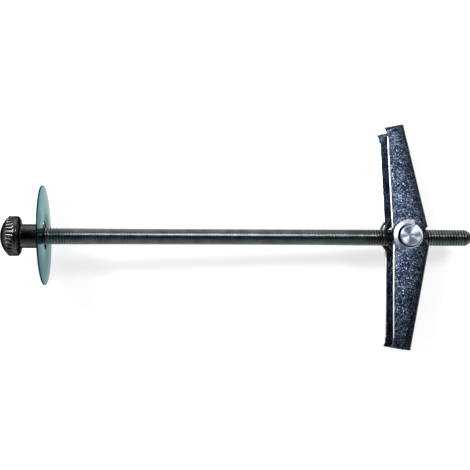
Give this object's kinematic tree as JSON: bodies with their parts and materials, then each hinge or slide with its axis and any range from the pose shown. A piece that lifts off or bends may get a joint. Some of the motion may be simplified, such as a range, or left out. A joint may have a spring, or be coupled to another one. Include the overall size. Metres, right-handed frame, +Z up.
{
  "type": "spring toggle bolt",
  "caption": "Spring toggle bolt: a long threaded rod with a fluted cap nut and wide loose washer at one end and, at the other, a cross nut with sprung folding channel wings.",
  "frame": {"origin": "centre of the rod at the washer's front face, the face that bears on the wall", "axes": "+X towards the rod's tip, 3.1 degrees above the rod's own slope; +Y towards the left wing's tip; +Z up, square to the table that the bolt lies on"},
  "size_m": [0.166, 0.0796, 0.035],
  "materials": {
    "rod_steel": "rolled thread, oiled",
    "dark_nickel": "black nickel plate, semi-gloss",
    "bright_zinc": "bright blue-passivated zinc, near mirror",
    "turned_steel": "turned and zinc plated",
    "blue_zinc": "blue-passivated zinc on pressed sheet, mottled",
    "spring_wire": "oil-tempered black"
  },
  "bodies": {
    "washer": {"washer": "bright_zinc"},
    "screw": {"threaded_rod": "rod_steel", "cap_nut": "dark_nickel"},
    "toggle": {"cross_nut": "turned_steel", "torsion_spring": "spring_wire"},
    "left_wing": {"left_wing": "blue_zinc"},
    "right_wing": {"right_wing": "blue_zinc"}
  },
  "joints": [
    {"name": "screw_turn", "type": "hinge", "parent": "washer", "child": "screw", "pos_m": [0, 0, 0], "axis": [0.9985, 0, -0.0543], "range_deg": [-5520, 30720]},
    {"name": "toggle_travel", "type": "slide", "parent": "washer", "child": "toggle", "axis": [-0.9985, 0, 0.0543], "range_m": [-0.015, 0.085]},
    {"name": "left_wing_fold", "type": "hinge", "parent": "toggle", "child": "left_wing", "pos_m": [0.12711, 0, -0.00691], "axis": [0.0543, 0, 0.9985], "range_deg": [0, 82], "stiffness_Nm_per_rad": 0.03, "springref_deg": -34.38, "deforming": ["torsion_spring"]},
    {"name": "right_wing_fold", "type": "hinge", "parent": "toggle", "child": "right_wing", "pos_m": [0.12711, 0, -0.00691], "axis": [-0.0543, 0, -0.9985], "range_deg": [0, 82], "stiffness_Nm_per_rad": 0.03, "springref_deg": -34.38}
  ],
  "couplings": [
    {"joint": "screw_turn", "follows": "toggle_travel", "rad_per_m": 6283.2}
  ]
}
